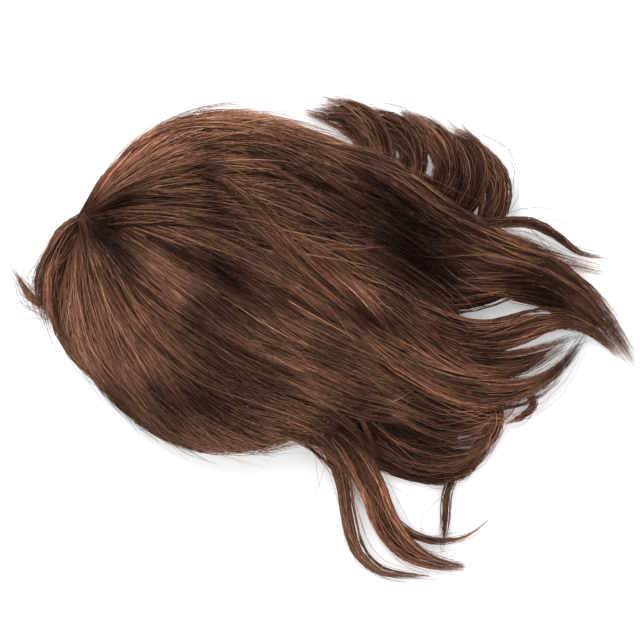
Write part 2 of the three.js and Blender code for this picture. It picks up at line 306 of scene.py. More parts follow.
def rings_of(row):
    """The lock's centre line at its solid's own rings: x and y add up the headings, each at the middle of
    its step, and the height is the body's surface where the lock hugs it and its own rise elsewhere."""
    steps = max(FEWEST_STEPS, round(row["length"] / row["step"]))
    x, y, height = row["x"] * BODY_HALF_LENGTH, row["y"] * BODY_HALF_WIDTH, row["rise"][0]
    if row["origin"]:
        at = rings_of(rows_by_name[row["origin"]])[0]
        x, y, z = at[int(row["share"] * (len(at) - 1) + 0.5)]
        height = z / BODY_HEIGHT
    u = np.arange(steps + 1) / steps
    heading = np.radians(along(row["turns"], np.minimum(1, u + 0.5 / steps)))[:-1]
    stride = row["length"] / steps
    x = x + np.concatenate([[0], np.cumsum(np.cos(heading) * stride)])
    y = y + np.concatenate([[0], np.cumsum(np.sin(heading) * stride)])
    wide, middle, over, under = section(x)
    hug = row["hug"] * (1 - smooth((x / BODY_HALF_LENGTH - row["let_go"]) / LET_GO))
    turn = np.arccos(np.clip(y / wide, -1, 1)) + np.radians(row["tuck"]) * smooth(u / TUCK_SHARE)
    half = np.where(np.sin(turn) > 0, over, under)
    on_body = np.stack([x, np.cos(turn) * wide, middle + np.sin(turn) * half], -1)
    free = np.stack([x, y, along([height, *row["rise"][1:]], u) * BODY_HEIGHT], -1)
    return mix(free, on_body, hug[:, None]), hug


def path_of(row):
    """The same centre line on a smooth curve through the rings, with its direction, the direction across
    it, how much it hugs the body, and its half width and half thickness."""
    at, hug = rings_of(row)
    u = np.linspace(0, 1, PATH_POINTS)
    at = along(at, u)
    hug = np.clip(along(hug, u), 0, 1)
    ahead = unit(np.gradient(at, axis=0))
    taper = mix(1, row["tip"], smooth((u - TAPER_FROM) / (1 - TAPER_FROM)))
    filled = smooth(u / row["fill"])
    return dict(
        u=u, at=at, hug=hug, ahead=ahead, across=unit(np.cross(outward(at, hug), ahead)),
        wide=row["width"] / 2 * mix(row["root"], 1, filled) * taper,
        thick=row["thickness"] / 2 * mix(ROOT_THICKNESS, 1, filled) * taper**TAPER_POWER,
    )


def at_share(path, key, u):
    """A path's quantity at any shares u."""
    values = path[key]
    if values.ndim == 1:
        return np.interp(u, path["u"], values)
    return np.stack([np.interp(u, path["u"], values[:, k]) for k in range(3)], -1)


def beside(path, row, u, across, out):
    """The points `across` beside the centre line and `out` from it, at shares u: stepped off sideways,
    drawn back to the body's surface as far as the lock hugs it, then lifted along the outward direction.
    Past the end the line runs on straight."""
    hug = at_share(path, "hug", u)
    at = at_share(path, "at", u)
    at = at + (np.maximum(0, u - 1) * row["length"])[..., None] * at_share(path, "ahead", u)
    p = at + at_share(path, "across", u) * across[..., None]
    pull = mix(1, reach(at) / np.maximum(CROWN_END, reach(p)), hug)
    middle = section(p[..., 0])[1]
    p[..., 1] *= pull
    p[..., 2] = middle + (p[..., 2] - middle) * pull
    return p + outward(p, hug) * (out + row["lift"] - row["thickness"] / 2 * hug)[..., None]


LATTICE = 64  # the noise repeats after as many whole numbers


def lattice(seed, a, b):
    """Smooth noise from 0 to 1 over two coordinates: random numbers on a grid of whole numbers, joined by
    smooth steps."""
    grid = np.random.default_rng(seed).random((LATTICE, LATTICE))
    i, j = np.floor(a).astype(int), np.floor(b).astype(int)
    s, t = smooth(a - i), smooth(b - j)
    i, j, next_i, next_j = i % LATTICE, j % LATTICE, (i + 1) % LATTICE, (j + 1) % LATTICE
    return mix(mix(grid[i, j], grid[next_i, j], s), mix(grid[i, next_j], grid[next_i, next_j], s), t)


def seed_of(name):
    """A lock's own seed for its random numbers, from its name."""
    return sum(ord(letter) * (k + 1) for k, letter in enumerate(name))


# The hair itself: brown synthetic fibre, darker and lighter fibres mixed, combed into small clumps.
# Each lock has a mass at its middle, coloured dark as painted shade for the hair's depths, and hundreds of
# separate strands over it.
HAIR_TONES = [
    (0.0, linear(24, 14, 10)),
    (0.3, linear(68, 42, 31)),
    (0.55, linear(113, 76, 60)),
    (0.8, linear(165, 120, 97)),
    (1.0, linear(212, 168, 138)),
]
PATCH_TONE = 0.25  # how far soft patches change the tone
GRAIN_TONE = 1.0  # how far the grain within a hair changes it
GRAINS_ALONG = 34  # how often a hair changes its tone along its length
STRAND_GRAINS = 4000  # and across a whole piece, where each strand has its own strip of the map
MASS_GRAINS = 900
SPOT_REACH = 1.9  # how far out a spot of painted shade or painted highlight fades, in its half sizes
SPOT_HEIGHT = 1000  # it holds at every height
SPOT_GRAIN = (1.8, 0.2)  # how strongly it acts on the darkest grains and on the lightest
PAINTED_SHADE_SPOTS = [  # painted shade in the hollows between locks, where less light gets in: x and y from the body's middle, half length, half width, heading, share of the light
    (-0.085, 0.032, 0.026, 0.018, -38, 0.30),  # the pocket beside the whorl
    (-0.090, 0.038, 0.018, 0.009, -10, 0.45),
    (-0.072, 0.020, 0.018, 0.009, -50, 0.50),
    (-0.078, 0.062, 0.016, 0.008, 20, 0.35),
    (-0.145, -0.006, 0.018, 0.005, -75, 0.55),  # the fringe's outer edge
    (-0.132, -0.040, 0.014, 0.006, -40, 0.50),
    (-0.002, 0.062, 0.018, 0.009, -70, 0.45),  # furrows over the dome
    (0.045, 0.066, 0.019, 0.013, -35, 0.58),
    (0.010, 0.006, 0.029, 0.019, -50, 0.32),
    (0.002, -0.050, 0.035, 0.024, -40, 0.50),
    (-0.013, -0.028, 0.014, 0.011, -60, 0.65),
    (0.108, 0.062, 0.045, 0.018, -16, 0.32),  # between the far bands and the long locks
    (0.157, 0.022, 0.048, 0.026, -58, 0.14),
    (0.160, 0.042, 0.036, 0.024, -6, 0.34),
    (0.195, 0.030, 0.026, 0.010, -12, 0.88),  # along the nape
    (0.262, 0.020, 0.024, 0.012, -40, 0.80),
    (0.208, -0.014, 0.018, 0.007, -20, 0.50),
    (0.260, -0.010, 0.027, 0.010, -24, 0.25),  # behind the long locks' tips
    (0.280, -0.046, 0.018, 0.008, -70, 0.50),
    (0.277, -0.068, 0.016, 0.008, 20, 0.50),
    (0.094, -0.058, 0.024, 0.010, -22, 0.45),  # between the long locks
    (0.139, -0.034, 0.021, 0.011, -20, 0.60),
    (0.216, -0.050, 0.018, 0.009, 0, 0.60),
    (0.106, -0.090, 0.021, 0.007, -10, 0.60),
    (-0.080, -0.098, 0.030, 0.008, -42, 0.35),  # the body's lower edge, where it turns under
    (-0.040, -0.124, 0.030, 0.006, -24, 0.50),
    (-0.046, -0.083, 0.015, 0.005, -50, 0.55),
    (-0.018, -0.096, 0.048, 0.018, -6, 0.27),  # under the front bands' lower edge
    (0.037, -0.079, 0.026, 0.010, -14, 0.72),
    (0.104, -0.126, 0.026, 0.011, -30, 0.33),  # at the tail's root
    (0.132, -0.118, 0.014, 0.009, -30, 0.40),
    (0.170, -0.123, 0.024, 0.015, -14, 0.30),  # in the curls
    (0.165, -0.150, 0.045, 0.012, -5, 0.68),
    (0.132, 0.119, 0.038, 0.011, -16, 0.60),  # in the fan
    (0.197, 0.068, 0.030, 0.016, -72, 0.45),
    (0.080, 0.078, 0.021, 0.008, -20, 0.75),  # along the far side
    (0.038, 0.102, 0.021, 0.006, -25, 0.50),
    (0.068, 0.108, 0.019, 0.004, -12, 0.50),
    (-0.022, 0.110, 0.018, 0.004, 0, 0.55),
    (-0.005, 0.090, 0.014, 0.010, -60, 0.60),
    (0.134, 0.074, 0.034, 0.009, -32, 0.35),  # under the rope
    (-0.024, 0.024, 0.026, 0.006, -22, 0.50),  # on the dome
    (-0.012, -0.023, 0.011, 0.010, -60, 0.60),
]
PAINTED_HIGHLIGHT_SPOTS = [  # the same for painted highlights, on the places that would catch the light
    (-0.012, 0.117, 0.067, 0.016, 12, 1.75),  # along the top
    (-0.082, 0.089, 0.034, 0.010, 48, 1.50),
    (-0.048, 0.094, 0.032, 0.016, 40, 1.15),
    (0.020, 0.082, 0.019, 0.011, -40, 1.45),
    (0.092, 0.102, 0.027, 0.008, -15, 1.30),
    (-0.028, 0.039, 0.024, 0.010, -12, 1.35),
    (0.061, 0.020, 0.050, 0.012, -42, 1.60),  # the ridge over the dome
    (0.104, -0.006, 0.032, 0.010, -16, 1.45),
    (-0.092, -0.031, 0.050, 0.026, -58, 1.28),  # the front
    (-0.046, -0.036, 0.026, 0.012, -58, 1.30),
    (-0.134, 0.004, 0.021, 0.011, -110, 1.18),  # the fringe
    (0.160, 0.070, 0.035, 0.006, -42, 1.35),  # the rope
    (0.224, 0.023, 0.021, 0.006, -12, 1.50),  # the nape's upper edge
    (0.176, -0.054, 0.014, 0.029, 0, 1.30),  # where the long locks turn
    (0.123, -0.178, 0.045, 0.019, -60, 1.60),  # the tail
    (0.140, -0.103, 0.019, 0.007, -10, 1.50),  # the curls
    (0.206, -0.107, 0.022, 0.007, -10, 1.60),
    (0.176, 0.100, 0.045, 0.030, -40, 1.16),  # the fan
]


def hair_material(name, roughness, grains_across):
    """The `fibre` attribute holds each fibre's tone, its share along the hair, and the painted light and
    shade it carries. The tone varies in soft patches and in grains drawn out along the hair. That painted
    light is multiplied by the own share of each spot of painted shade and painted highlight, which fades
    out on a smooth step from the middle of the place to
    SPOT_REACH times its half length and half width; the result darkens or lightens the base colour."""
    made, shader, maths = new_material(name, Roughness=roughness, Specular_IOR_Level=0.05)
    fibre = maths.node("ShaderNodeAttribute", {}, output="Vector", attribute_name="fibre")
    place = maths.node("ShaderNodeTexCoord", {}, output="Object")
    patch = maths.node("ShaderNodeTexNoise", {"Vector": place, "Scale": 30.0, "Detail": 3.0})
    lie = maths.node("ShaderNodeUVMap", {}, uv_map="hair")
    drawn_out = maths.node(
        "ShaderNodeVectorMath", {0: lie, 1: (grains_across, GRAINS_ALONG, 0)}, operation="MULTIPLY"
    )
    grain = maths.node("ShaderNodeTexNoise", {"Vector": drawn_out, "Scale": 1.0, "Detail": 2.0})
    tone = (fibre.part("X") + (patch - 0.5) * PATCH_TONE + (grain - 0.5) * GRAIN_TONE).held()
    colour = maths.node("ShaderNodeValToRGB", {0: tone}, stops=HAIR_TONES)
    light = fibre.part("Z")
    depth = mix(*SPOT_GRAIN, grain)
    # Painted shade and painted highlights: each spot darkens or lightens the base colour round its place.
    for x, y, along_it, across_it, heading, own in PAINTED_SHADE_SPOTS + PAINTED_HIGHLIGHT_SPOTS:
        spot = maths.node("ShaderNodeMapping", {
            "Vector": place, "Location": BODY_MIDDLE + (x, y, 0), "Rotation": (0, 0, np.radians(heading)),
            "Scale": (SPOT_REACH * along_it, SPOT_REACH * across_it, SPOT_HEIGHT),
        }, vector_type="TEXTURE")
        near = maths.node(
            "ShaderNodeTexGradient", {"Vector": spot}, output="Fac", gradient_type="SPHERICAL"
        )
        light = light * maths.node(
            "ShaderNodeMapRange", {"Value": near * depth, "To Min": 1.0, "To Max": own},
            interpolation_type="SMOOTHSTEP",
        )
    shade = maths.node("ShaderNodeCombineXYZ", {0: light, 1: light, 2: light})
    shaded = maths.node("ShaderNodeVectorMath", {0: colour, 1: shade}, operation="MULTIPLY")
    feed(shaded, shader, "Base Color")
    return made


strand_hair = hair_material("strand_hair", 0.45, STRAND_GRAINS)
mass_hair = hair_material("mass_hair", 0.7, MASS_GRAINS)


def smooth_faces(mesh):
    mesh.polygons.foreach_set("use_smooth", np.ones(len(mesh.polygons), bool))


def finish(piece, node, uv, fibre):
    """Smooth faces, the map along the hair, the fibre attribute, and what the piece stands for."""
    mesh = piece.data
    smooth_faces(mesh)
    for name in ("hair", "OFBake"):
        mesh.uv_layers.new(name=name).uv.foreach_set("vector", uv.astype(np.float32).ravel())
    mesh.attributes.new("fibre", "FLOAT_VECTOR", "POINT").data.foreach_set(
        "vector", fibre.astype(np.float32).ravel()
    )
    mesh.update()
    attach(piece, "root")
    if node:
        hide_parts(node)


def grid_faces(count, rows, columns):
    """Quads of `count` grids of rows by columns of vertices, closed round the columns, and with them each
    corner's row and column."""
    r, c = np.meshgrid(np.arange(rows - 1), np.arange(columns), indexing="ij")
    corner_rows = np.stack([r, r, r + 1, r + 1], -1).reshape(-1, 4)
    corner_columns = np.stack([c, c + 1, c + 1, c], -1).reshape(-1, 4)
    quads = corner_rows * columns + corner_columns % columns
    starts = np.arange(count) * rows * columns
    return (starts[:, None, None] + quads).reshape(-1, 4), corner_rows, corner_columns


MAP_EDGE = 0.02  # of the map along the hair, kept for the two ends
MOTTLE = 0.016  # the size of soft light and dark patches, and how light the darkest and lightest are
MOTTLE_LIGHT = (0.94, 1.46)
MOTTLE_SEED = 8
MOTTLE_SHIFT = 20  # keeps the noise's repeat off the wig
MASS_SIDES = 16
MASS_RINGS = 16  # at least
MASS_STEP = 0.009
MASS_SHARE = 0.76  # of the lock's section
MASS_SPREAD = 0.06  # added to that share across the lock
MASS_END = 0.82  # of the lock's length; its tip is strands alone
MASS_POINTS = (0.02, 0.25)  # the shares of the length over which its root and its end narrow
# The mass's dark tones and its lower light are painted shade, for the depths of the hair under the strands.
MASS_TONE = (0.12, 0.37)
MASS_LIGHT = 0.6
MASS_GAP = 0.0002  # over the table


def mottle_at(p):
    x, y = p[..., 0] / MOTTLE + MOTTLE_SHIFT, p[..., 1] / MOTTLE + MOTTLE_SHIFT
    return mix(*MOTTLE_LIGHT, lattice(MOTTLE_SEED, x, y))


def mass(name, rows, node):
    """One closed form a lock: rings of an ellipse carried along its path, wrapped on the body, and drawn to
    a point at both ends."""
    vertices, faces, uvs, fibres, start = [], [], [], [], 0
    sides = np.arange(MASS_SIDES)
    for i, row in enumerate(rows):
        path = path_of(row)
        rings = max(MASS_RINGS, int(row["length"] / MASS_STEP))
        last = MASS_END if row["kind"] == "lock" else 1.0
        share = MASS_SHARE * min(1, 0.5 + 0.5 * row["width"] / LOCK_WIDTH)
        u = np.linspace(0, last, rings)[:, None] * np.ones(MASS_SIDES)
        a = np.linspace(0, 2 * np.pi, MASS_SIDES, endpoint=False) * np.ones((rings, 1))
        end = np.sqrt(np.clip(np.minimum(u / MASS_POINTS[0], (last - u) / MASS_POINTS[1]), 0, 1))
        across = at_share(path, "wide", u) * -np.cos(a) * (share + MASS_SPREAD) * end
        out = at_share(path, "thick", u) * np.sin(a) * share * end
        points = beside(path, row, u, across, out)
        points[..., 2] = np.maximum(points[..., 2], MASS_GAP)
        vertices.append(points.reshape(-1, 3))
        quads, ring, side = grid_faces(1, rings, MASS_SIDES)
        caps = [sides[::-1], (rings - 1) * MASS_SIDES + sides]
        faces += (quads + start).tolist() + [(cap + start).tolist() for cap in caps]
        column = (i + 0.05 + 0.9 * side / MASS_SIDES) / len(rows)
        uvs.append(np.stack([column, mix(MAP_EDGE, 1 - MAP_EDGE, ring / (rings - 1))], -1).reshape(-1, 2))
        cap_row = np.repeat([MAP_EDGE / 2, 1 - MAP_EDGE / 2], MASS_SIDES)
        uvs.append(np.stack([np.full(2 * MASS_SIDES, (i + 0.5) / len(rows)), cap_row], -1))
        tone = mix(*MASS_TONE, lattice(seed_of(row["name"]) + 5, a * 14, u * 5))
        fibres.append(np.stack([tone, u, MASS_LIGHT * mottle_at(points)], -1).reshape(-1, 3))
        start += rings * MASS_SIDES
    piece = new_object(name, np.concatenate(vertices) + BODY_MIDDLE, faces, mass_hair)
    finish(piece, node, np.concatenate(uvs), np.concatenate(fibres))


STRAND_SIDES = 3


def tubes(name, node, centre, radius, up, fibre):
    """Each centre line becomes a closed tube: rings of three points, a radius off the line."""
    count, points = centre.shape[:2]
    ahead = unit(np.gradient(centre, axis=1))
    side = unit(np.cross(ahead, up))
    top = np.cross(side, ahead)
    a = 2 * np.pi * np.arange(STRAND_SIDES) / STRAND_SIDES + np.pi / 2
    ring = side[:, :, None] * np.cos(a)[:, None] + top[:, :, None] * np.sin(a)[:, None]
    vertices = (centre[:, :, None] + ring * radius[:, :, None, None]).reshape(-1, 3) + BODY_MIDDLE
    quads, row, column = grid_faces(count, points, STRAND_SIDES)
    starts = np.arange(count) * points * STRAND_SIDES
    first = starts[:, None] + np.arange(STRAND_SIDES)[::-1]
    last = starts[:, None] + (points - 1) * STRAND_SIDES + np.arange(STRAND_SIDES)
    faces = quads.tolist() + first.tolist() + last.tolist()
    piece = new_object(name, vertices, faces, strand_hair)
    strip_at = (np.arange(count)[:, None, None] + 0.2 + 0.6 * column / STRAND_SIDES) / count
    along_it = np.broadcast_to(mix(MAP_EDGE, 1 - MAP_EDGE, row / (points - 1)), strip_at.shape)
    middle = np.repeat((np.arange(count) + 0.5) / count, STRAND_SIDES)
    ends = [np.stack([middle, np.full(len(middle), v)], -1) for v in (MAP_EDGE / 2, 1 - MAP_EDGE / 2)]
    uv = np.concatenate([np.stack([strip_at, along_it], -1).reshape(-1, 2), *ends])
    finish(piece, node, uv, np.repeat(fibre.reshape(-1, 3), STRAND_SIDES, axis=0))


CLUMP_WIDTH = {"sheet": 0.0056, "lock": 0.0044, "strip": 0.012, "wisp": 0.0036}
FEWEST_CLUMPS = 4
CLUMP_RISE = 0.0015  # how far a clump climbs over its neighbours or dips under them
CLUMP_HEIGHT = 0.0016  # half its own thickness, at most
CLUMP_WANDER = 0.007  # how far it strays to the side
CLUMP_GATHER = 0.55  # how much narrower it is at its tip
FIBRE_WANDER = 0.0038  # how far a fibre strays within it
FIBRE_DRIFT = 0.008  # how far a fibre slants across it, end to end
WAVE = 0.012  # the slow wave that neighbouring clumps share
WAVE_STEP = 0.055
NARROW = 0.022  # clumps stray less in a lock with a smaller half width
FOLD = 1.05  # a strand that strays past this many half widths is folded back
APART = {"wander": 1.7, "rise": 2.3, "fibre": 0.37, "tone": 0.61}  # how unlike neighbours are in each
RATE = {"wander": 3.3, "rise": 3.1, "fibre": 7, "tone": 14}  # how often each changes along a lock
WHOLE = {"free": 0.4, "band": 0.5}  # the share of strands that start at the lock's root
LATEST = {"free": 0.3, "band": 0.6}  # where the last of the others starts
EARLIEST = 0.03  # where the last of the whole ones does
SUNK_FROM = 0.04  # strands that start further on are sunk at their root
CLUMP_END = (0.74, 1.0)  # where the shortest clump ends and the longest
END_SCATTER = (-0.08, 0.04)  # and its strands round it
SHORTEST = 0.2  # the least length of a strand, as a share of its lock's
SINK = 0.0012  # how deep the strands lie in the lock's surface
ROOT_SINK = 0.003  # how much deeper a strand starts that doesn't start at the root
UNDERSIDE = 0.4  # the share of a free lock's strands that lie under it
FRAY = 0.15  # how far the tips of a free lock spread, as a share of its half width
FRAY_FROM = 0.55
STRAND_RADIUS = 0.00032
STRAND_SIZES = (0.6, 1.15)
ROOT_SIZE, ROOT_LENGTH = 0.3, 0.1  # how thin a strand is at its root, and over what share of it
TIP_SIZE, TIP_LENGTH = 0.15, 0.4
HAIR_GAP = 0.0003  # over the table
STRAND_TONE = (0.44, 0.16)  # middle and spread
CLUMP_TONE = 0.05
LENGTH_TONE = 0.3  # how far the tone changes along a strand
LIGHTEST_TONE = 0.76
CLUMP_LIGHT = (0.4, 1.15)  # painted shade at the bottom of a clump and painted light on its top
LIGHT_DEPTH = 0.0045
FURROW = (0.0045, 0.036)  # streaks of painted shade and painted highlight along the hair, as in furrows and on ridges between fibres: how far apart across the hair and along it
FURROW_LIGHT = (0.5, 1.38)
TIP_LIGHT = 0.6  # painted light that offsets the shade near the table: how much lighter a free lock gets at its tip


def strands(name, rows, node, counts, points=9):
    """Closed three-sided strands in clumps. A clump has a home across its lock, strays from it and rises
    and dips along the lock. A strand keeps its place in the clump's round section, which shrinks as the
    clump gathers, is sunk at its root, and thins to its tip."""
    parts = []
    for row, count in zip(rows, counts):
        path, seed = path_of(row), seed_of(row["name"])
        rng = np.random.default_rng(seed + 11)
        free = row["kind"] == "lock"
        kind = "free" if free else "band"
        half_width = row["width"] / 2
        each, own = (count, 1), np.arange(count)[:, None]
        clumps = max(FEWEST_CLUMPS, round(row["width"] / CLUMP_WIDTH[row["kind"]]))
        clump = rng.integers(clumps, size=each)
        home = (clump + rng.uniform(-0.4, 1.4, clumps)[clump]) / clumps * 2 - 1
        broad = rng.uniform(0.5, 2.6, clumps)[clump]
        turn, away = rng.uniform(0, 2 * np.pi, each), np.sqrt(rng.random(each))

        whole = rng.random(each) < WHOLE[kind]
        begin = np.where(whole, rng.uniform(0, EARLIEST, each), rng.uniform(0, LATEST[kind], each))
        stop = mix(*CLUMP_END, rng.random(clumps)[clump] ** 0.7) + rng.uniform(*END_SCATTER, each)
        t = np.linspace(0, 1, points)
        u = mix(begin, np.maximum(stop * row["last"], begin + SHORTEST), t)

        wander = CLUMP_WANDER * (lattice(seed + 2, clump * APART["wander"], u * RATE["wander"]) - 0.5)
        wave = WAVE * (lattice(seed + 7, home * 1.5 + 9, u * row["length"] / WAVE_STEP) - 0.5)
        drift = FIBRE_DRIFT * rng.normal(0, 1, each) * (u - 0.5)
        own_wander = FIBRE_WANDER * (lattice(seed + 3, own * APART["fibre"], u * RATE["fibre"]) - 0.5)
        stray = (wander + wave + drift) * min(1, half_width / NARROW) + own_wander
        fray = FRAY * rng.normal(0, 1, each) * smooth((u - FRAY_FROM) / (1 - FRAY_FROM)) * free
        gathered = 1 - CLUMP_GATHER * smooth(u * 1.3)
        place = home + np.cos(turn) * away * broad / clumps * gathered + stray / half_width
        place = np.where(np.abs(place) > FOLD, np.sign(place) * (2 * FOLD - np.abs(place)), place)

        up_and_down = lattice(seed + 4, clump * APART["rise"] + 0.5, u * RATE["rise"]) - 0.5
        rise = 2 * CLUMP_RISE * up_and_down
        over = rise + np.sin(turn) * away * min(CLUMP_HEIGHT, half_width * 1.5 / clumps)
        rounded = np.sqrt(np.clip(1 - place**2, 0, 1))
        under = rng.random(each) < (UNDERSIDE if row["hug"] == 0 or free else 0.0)
        out = at_share(path, "thick", u) * rounded - SINK + over * np.minimum(1, 0.3 + rounded)
        root_sink = ROOT_SINK * (begin > SUNK_FROM) * (1 - smooth(t / 0.2))
        out = np.where(under, -1, 1) * np.maximum(out, 0) - root_sink
        across = at_share(path, "wide", u) * place + half_width * fray
        centre = beside(path, row, u, across, out)
        size = STRAND_RADIUS * rng.uniform(*STRAND_SIZES, each) * mix(ROOT_SIZE, 1, smooth(t / ROOT_LENGTH))
        size = size * mix(TIP_SIZE, 1, smooth((1 - t) / TIP_LENGTH))
        centre[..., 2] = np.maximum(centre[..., 2], size + HAIR_GAP)

        tone = rng.normal(*STRAND_TONE, each) + rng.normal(0, CLUMP_TONE, clumps)[clump]
        tone = tone + LENGTH_TONE * (lattice(seed + 6, own * APART["tone"], u * RATE["tone"]) - 0.5)
        tone = np.minimum(tone, LIGHTEST_TONE)
        # Painted shade and light in the base colour: darker low in a clump, lighter on its top and towards
        # a free lock's sides.
        light = mix(*CLUMP_LIGHT, smooth(0.5 + over / LIGHT_DEPTH + 0.35 * free * place**2))
        furrow_shade = lattice(seed + 8, (place + 1.2) * half_width / FURROW[0], u * row["length"] / FURROW[1])
        light = light * mottle_at(centre) * mix(*FURROW_LIGHT, smooth(furrow_shade))
        light = light * (1 + free * TIP_LIGHT * smooth((u - FRAY_FROM) / 0.4))
        hug = at_share(path, "hug", u)
        parts.append((centre, size, outward(centre, hug), np.stack([tone, u, light], -1)))
    tubes(name, node, *(np.concatenate(part) for part in zip(*parts)))


LOOSE_LENGTH = (0.06, 0.16)
LOOSE_RADIUS = (0.00013, 0.00024)
LOOSE_SLANT = 0.016  # how far they run across the lock, end to end
LOOSE_BOW = 0.010
LOOSE_TIP_SIZE, LOOSE_TIP_LENGTH = 0.4, 0.3
LOOSE_OVER = 0.0006  # how far they lie over the lock's surface
LOOSE_TONE = (0.64, 0.14)
LOOSE_LIGHT = (0.75, 1.1)  # painted light: darker at the root, where the hair lies in the lock, and lighter at the tip


def loose_hairs(name, rows, counts, lift, points=7):
    """Single thin hairs that left the comb's line: each crosses its lock at a small angle, on a bow, and
    its end stands off the surface by up to the lift."""
    parts = []
    for row, count in zip(rows, counts):
        path, each = path_of(row), (count, 1)
        rng = np.random.default_rng(seed_of(row["name"]) + 29)
        half_width = row["width"] / 2
        begin = rng.uniform(0, 0.75, each)
        far = begin + rng.uniform(*LOOSE_LENGTH, each) / row["length"]
        end = np.minimum(far, rng.uniform(0.85, 1.08, each))
        t = np.linspace(0, 1, points)
        u = mix(begin, end, t)
        slant = rng.normal(0, LOOSE_SLANT, each) / half_width
        bow = rng.normal(0, LOOSE_BOW, each) / half_width
        place = rng.uniform(-1, 1, each) + slant * t + bow * (t * t - t)
        stands = np.abs(rng.normal(0, 1, each)) * lift
        surface = at_share(path, "thick", u) * np.sqrt(np.clip(1 - place**2, 0, 1))
        out = surface + LOOSE_OVER + stands * t * t - ROOT_SINK * (1 - smooth(t / 0.15))
        centre = beside(path, row, u, at_share(path, "wide", u) * place, out)
        size = rng.uniform(*LOOSE_RADIUS, each) * mix(LOOSE_TIP_SIZE, 1, smooth((1 - t) / LOOSE_TIP_LENGTH))
        centre[..., 2] = np.maximum(centre[..., 2], size + HAIR_GAP)
        tone = rng.normal(*LOOSE_TONE, each) * np.ones_like(u)
        light = mix(*LOOSE_LIGHT, smooth(t * 3)) * mix(1, mottle_at(centre), 0.7)
        hug = at_share(path, "hug", u)
        parts.append((centre, size, outward(centre, hug), np.stack([tone, u, light], -1)))
    tubes(name, None, *(np.concatenate(part) for part in zip(*parts)))


# The stretch cap that the hair is sewn to: a thin dark net, open at the face and neck.
# It is seen only through those openings, from low down.
HAIR_DEPTH = 0.013
CAP_WALL = 0.002
CAP_RIM = 0.040  # its edge behind the middle of the body
CAP_RIM_SLANT = 0.052  # further back on one side, and further forward on the other
CAP_GRID = (28, 72)
NET_THREADS = 420.0
NET_DEPTH = 0.0008


def cap_surface(depth):
    """The body's section at a depth, from the crown to a slanted edge: share of the way squared gives x,
    and the angle round the axis gives the point."""
    share, a = np.meshgrid((np.arange(1, CAP_GRID[0] + 1) / CAP_GRID[0]) ** 2,
                           np.linspace(0, -2 * np.pi, CAP_GRID[1], endpoint=False), indexing="ij")
    x = mix(depth - BODY_HALF_LENGTH, CAP_RIM + CAP_RIM_SLANT * np.cos(a), share)
    wide, middle, over, under = section(x, depth)
    half = np.where(np.sin(a) > 0, over, under)
    return np.stack([x, wide * np.cos(a), middle + half * np.sin(a)], -1)


cap_net, shader, maths = new_material("cap_net", Roughness=0.85, Specular_IOR_Level=0.25)
place = maths.node("ShaderNodeTexCoord", {}, output="Object")
threads = maths.node("ShaderNodeTexVoronoi", {"Vector": place, "Scale": NET_THREADS}, output="Distance")
wear = maths.node("ShaderNodeTexNoise", {"Vector": place, "Scale": 30.0, "Detail": 3.0})
weave = (threads * 1.2 + wear * 0.4).held()
net_colour = maths.node(
    "ShaderNodeValToRGB", {0: weave}, stops=[(0.0, linear(22, 17, 16)), (1.0, linear(58, 45, 40))]
)
feed(net_colour, shader, "Base Color")
bump = maths.node("ShaderNodeBump", {"Height": threads, "Distance": NET_DEPTH, "Strength": 0.6})
feed(bump, shader, "Normal")
shell = np.concatenate([cap_surface(HAIR_DEPTH), cap_surface(HAIR_DEPTH + CAP_WALL)[::-1]])
quads = grid_faces(1, len(shell), CAP_GRID[1])[0]
first = np.arange(CAP_GRID[1])
last = (len(shell) - 1) * CAP_GRID[1] + first
faces = quads[:, ::-1].tolist() + [first.tolist(), last[::-1].tolist()]
cap = new_object("net_cap", shell.reshape(-1, 3) + BODY_MIDDLE, faces, cap_net)
smooth_faces(cap.data)
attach(cap, "root")
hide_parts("cap")

# The crown hair: broad combed bands from the whorl over the dome to the nape, and the long locks that
# leave them at the right. The far half, the near half and the long locks are three sets of strands.
far_bands = zone(
    sheet("far_edge", 2.08, [60, 48, 10, -11, -22, -30]),
    sheet("far_shoulder", 2.3, [48, 34, 8, -19, -30, -36]),
    sheet("far_top", 2.3, [32, 16, -4, -27, -32, -34]),
    sheet("top", 2.4, [12, -2, -15, -27, -32, -44]),
)
near_bands = zone(
    sheet("ridge", 2.36, [-8, -22, -30, -28, -30, -42]),
    sheet("near_top", 2.3, [-26, -36, -34, -27, -26, -34]),
    sheet("near_shoulder", 2.2, [-44, -50, -38, -25, -24, -28]),
)
long_locks = zone(
    lock("rope", 0.44, 0.83, 1.36, 1, [-22, -24, -36, -24, -12, -16], [0.6, 0.5, 0.34, 0.26, 0.16, 0.05]),
    branch("rope_arc", "rope", 0.53, 0.68, 0.3, [-6, 0, 0, -29, -34, 6],
           [0.3, 0.26, 0.22, 0.17, 0.1, 0.05]),
    lock("shade", 0.5, 0.59, 0.85, 1.8, [-34, -34, -26, -10, -6, -10], [0.6, 0.45, 0.36, 0.3, 0.26, 0.2]),
    lock("slot", 0.89, -0.04, 1.05, 0.9, [-32, -31, -6, 20, -16, -42],
         [0.46, 0.37, 0.3, 0.26, 0.18, 0.08]),
    lock("swoop", 0.67, 0.15, 1.24, 0.9, [-40, -43, -42, -3, 25, 6], [0.6, 0.46, 0.34, 0.28, 0.24, 0.14]),
    lock("round", 0.72, -0.22, 1.12, 1, [-41, -35, -20, -1, 34, 62], [0.55, 0.42, 0.32, 0.26, 0.2, 0.12]),
)
mass("crown_mass", far_bands + near_bands + long_locks, "crown_hair")
strands("crown_far_strands", far_bands, "crown_hair", [680, 700, 705, 705])
loose_hairs("crown_far_loose", far_bands, [240, 170, 150, 150], 0.006)
strands("crown_near_strands", near_bands, "crown_hair", [765, 770, 765])
loose_hairs("crown_near_loose", near_bands, [160, 160, 160], 0.003)
